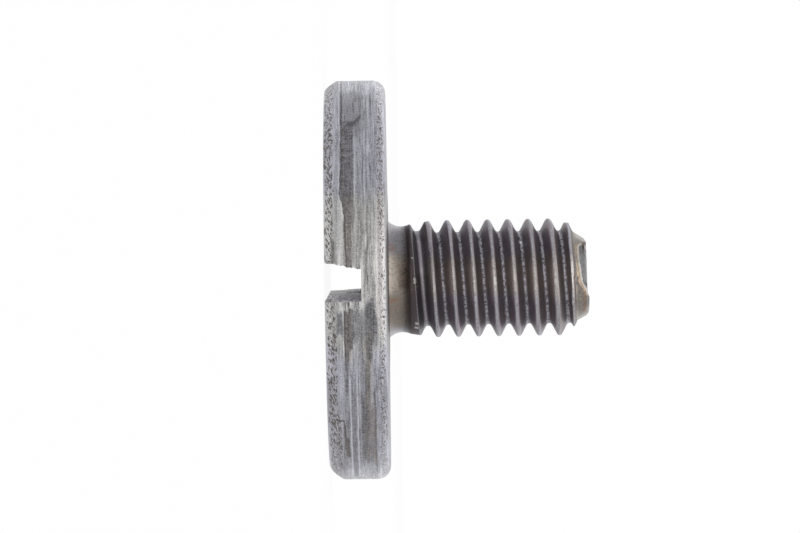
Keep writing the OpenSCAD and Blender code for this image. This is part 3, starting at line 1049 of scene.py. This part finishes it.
# A painted highlight lies down the head side of each crest, where it faces -Y, towards the front lamp
crest_side_painted_highlight = times(band(turn_at, -12, 6, 22), ramp(from_crest, 0.31, 0.1))
crest_side_painted_highlight = times(crest_side_painted_highlight, ramp(in_turn, 0.45, 0.55, 0.03, 0.29), ramp(wound, 0.7, 1.2))
wound = varied(wound, speck=0.05, grain=0.03)
on_thread = most(ramp(wound, -0.18, -0.13), ramp(height, 1, 1.1))
on_thread = times(on_thread, ramp(height, 9.3, 9.1))
thread_start = plus(height, ramp(turn_at, -12, -32, 0, -0.25))
on_thread = times(on_thread, ramp(thread_start, 0.6, 0.7))
# A painted glint on the crests where they face the front lamp
crest_painted_glint = times(band(turn_at, -9, 5, 9), ramp(varied(hair, grain=0.6), 0.4, 0.62))
crest_painted_glint = times(crest_painted_glint, ramp(wound, 0.7, 1.2), ramp(height, 8.6, 8.9, 0.09, 0.16))
crest_shade = plus(varied(0.295, fine=0.3, grain=0.75, speck=0.15), crest_painted_glint)
crest_metal = warmed(crest_shade, (1.01, 1, 1.08), (1.04, 1, 0.98), ramp(warm, 0.4, 1))
# The flanks are painted a little lighter near the crest, as a highlight
flank_shade = varied(ramp(from_crest, 0.08, 0.24, 0.258, 0.222), grain=0.22, speck=0.08)
flank_shade = plus(flank_shade, crest_side_painted_highlight)
flank_warm = ramp(plus(warm, ramp(height, 5, 8.5, 0, 0.5)), 0.3, 0.9)
flank_metal = warmed(flank_shade, (1.12, 1, 1.09), (1.12, 1, 0.96), flank_warm)
root_metal = mix(ramp(varied(speck, grain=1), 0.4, 0.56), *ROOT_DIRT)
wobble = varied(from_crest, speck=0.07, grain=0.1)
root_from = ramp(turn_at, 5, 50, 0.415, 0.365)
last_edge = less(height, varied(plus(9.01, times(at_x, 0.04)), grain=0.05))
last = ramp(height, 8.7, 8.8)
off_crest = plus(wobble, times(last, less(times(op("ABSOLUTE", last_edge), 0.85), wobble)))
thread_metal = mix(ramp(off_crest, 0.03, 0.07), crest_metal, flank_metal)
thread_metal = mix(ramp(less(wobble, root_from), 0, 0.02), thread_metal, root_metal)
first = times(ramp(wound, 0.64, 0.6), ramp(height, 2.05, 1.95))
first_left = times(ramp(wound, 0.12, 0.09), first)
first_right = times(ramp(wound, 0.11, 0.14), first)
thread_metal = mix(times(first_left, 0.9), thread_metal, mix(grain, *FIRST_DIRT))
first_shade = plus(
    ramp(wound, 0.2, 0.42, 0.18, 0.135), times(band(turn_at, 10, 50, 8), 0.06),
    centred(grain, 0.08), times(ramp(wobble, 0.46, 0.48), 0.07),
)
thread_metal = mix(first_right, thread_metal, tinted(first_shade, 1.06, 1, 1.08))


def fleck(degrees, radius, place_height, size):
    """1 in a crumb of the given size around a place on the shank."""
    angle = math.radians(degrees)
    middle = (-radius * math.sin(angle), -radius * math.cos(angle), HEAD_H + place_height)
    apart = tree.add("ShaderNodeVectorMath", operation="DISTANCE")
    tree.put(apart.inputs[0], spot)
    tree.put(apart.inputs[1], middle)
    return ramp(varied(apart.outputs["Value"], grain=size, speck=size), size, size * 0.6)


crumb = most(*(fleck(*row) for row in FLECKS))
strewn = times(ramp(tree.noise(spot, 4.3, 1, 0.5, w=8.1), 0.72, 0.76), 0.8)
crumb = times(most(crumb, strewn), ramp(height, 1.1, 1.2))
thread_metal = mix(crumb, thread_metal, mix(grain, *CRUMB))
stain = most(fleck(72, 2.7, 8.62, 0.22), fleck(88, 2.66, 8.6, 0.22))
thread_metal = mix(times(stain, 0.8), thread_metal, STAIN)
shank_metal = mix(on_thread, neck_metal, thread_metal)


# ---- End finish
# The end has a break painted dark as shade in its hollow, with a torn pit in it painted black as shade,
# a gold and a pale line along its edge, the pale one partly a painted highlight, and a brown stain
# beside it.
LINE_BROWN = (0.12, 0.085, 0.07)
GOLD = ((0.34, 0.23, 0.15), (0.62, 0.5, 0.36))
PALE = ((0.36, 0.34, 0.34), (0.6, 0.57, 0.53))
STREAK_RUST = (0.24, 0.13, 0.09)
HOLE_STAIN, HOLE_SHADE = (0.17, 0.1, 0.07), (0.03, 0.022, 0.018)
LUMP = (0.42, 0.37, 0.34)

tip_shade = varied(0.175, grain=0.28, speck=0.18)
tip_metal = warmed(tip_shade, (1.05, 1, 1), (1.14, 1, 0.84), ramp(speck, 0.38, 0.58))
tip_line = times(band(last_edge, 0.13, 0.16, 0.03), ramp(speck, 0.35, 0.5))
tip_metal = mix(times(tip_line, 0.6), tip_metal, LINE_BROWN)
broken_at = varied(stored("broken"), grain=0.05, speck=0.06)
front_end = times(band(turn_at, -36, 50, 10), ramp(height, 9, 9.1))
gold_size = ramp(varied(turn_at, speck=20), 20, 0, 0.4, 1)
gold_size = times(gold_size, ramp(speck, 0.3, 0.52, 0.45, 1), ramp(turn_at, -36, -20))
gold = times(band(broken_at, -0.13, -0.06, 0.05), front_end, gold_size)
tip_metal = mix(times(gold, 0.85), tip_metal, mix(speck, *GOLD))
# A pale line along the lip: burnished metal with a painted highlight
pale_rim_and_highlight = times(band(broken_at, -0.05, -0.01, 0.02), front_end)
tip_metal = mix(times(pale_rim_and_highlight, 0.85), tip_metal, mix(speck, *PALE))
# The break is painted dark, as shade inside its hollow
break_shade = varied(ramp(turn_at, 50, 25, 0.075, 0.14), grain=0.22, speck=0.1)
break_shade = plus(break_shade, times(ramp(height, 9.66, 9.8), 0.14))
painted_break_shade = times(ramp(broken_at, -0.02, 0.03), 0.95)
tip_metal = mix(painted_break_shade, tip_metal, tinted(break_shade, 1.03, 1, 1.03))
rust_streak = band(varied(turn_at, speck=14), -56, -24, 8)
rust_streak = times(rust_streak, band(height, 9.6, 9.7, 0.04), ramp(grain, 0.4, 0.56))
tip_metal = mix(times(rust_streak, 0.8), tip_metal, STREAK_RUST)
tip_metal = mix(times(fleck(56, 1.76, 9.66, 0.32), 0.6), tip_metal, HOLE_STAIN)
# A torn pit painted black, as the shade in a deep fold
painted_hole_shade = most(fleck(56, 1.78, 9.6, 0.22), fleck(50, 1.82, 9.68, 0.16))
tip_metal = mix(painted_hole_shade, tip_metal, HOLE_SHADE)
lump = most(fleck(63, 1.6, 9.75, 0.12), fleck(66, 1.95, 9.8, 0.08))
tip_metal = mix(times(lump, ramp(height, 9.66, 9.72)), tip_metal, LUMP)
shank_metal = mix(times(ramp(last_edge, 0.06, 0.12), last), shank_metal, tip_metal)


# ---- Surface
# The finishes come together, with painted shade on the bearing face around the neck. Fine lines and
# pits give the steel its relief. Dirt and painted shade in the slot take away its shine.
COLLAR_SHADE = (0.075, 0.058, 0.054)

# Painted shade on the bearing face, darkest next to the neck
collar_shade = times(ramp(height, -0.005, 0.01), ramp(reach, 6.5, 4.5), 0.9)
metal = mix(collar_shade, metal, COLLAR_SHADE)
metal = mix(on_shank, metal, shank_metal)

surface = tree.add("ShaderNodeBsdfPrincipled", {
    "Base Color": metal,
    "Metallic": bareness,
    "Roughness": 0.38,
    "Specular Tint": mix(times(on_shank, on_thread), (1, 1, 1), (0.7, 0.7, 0.71)),
})
relief = plus(times(fine, 0.6), times(hair, 0.3), times(grain, 0.35), times(pitted, -1))
bump = tree.add("ShaderNodeBump", {"Height": relief, "Strength": 0.4, "Distance": 0.02 * MM})
tree.put(surface.inputs["Normal"], bump.outputs[0])
tree.add("ShaderNodeOutputMaterial", {"Surface": surface.outputs[0]})
screw_mesh.materials.clear()
screw_mesh.materials.append(steel)

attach(screw, "root")
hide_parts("screw")
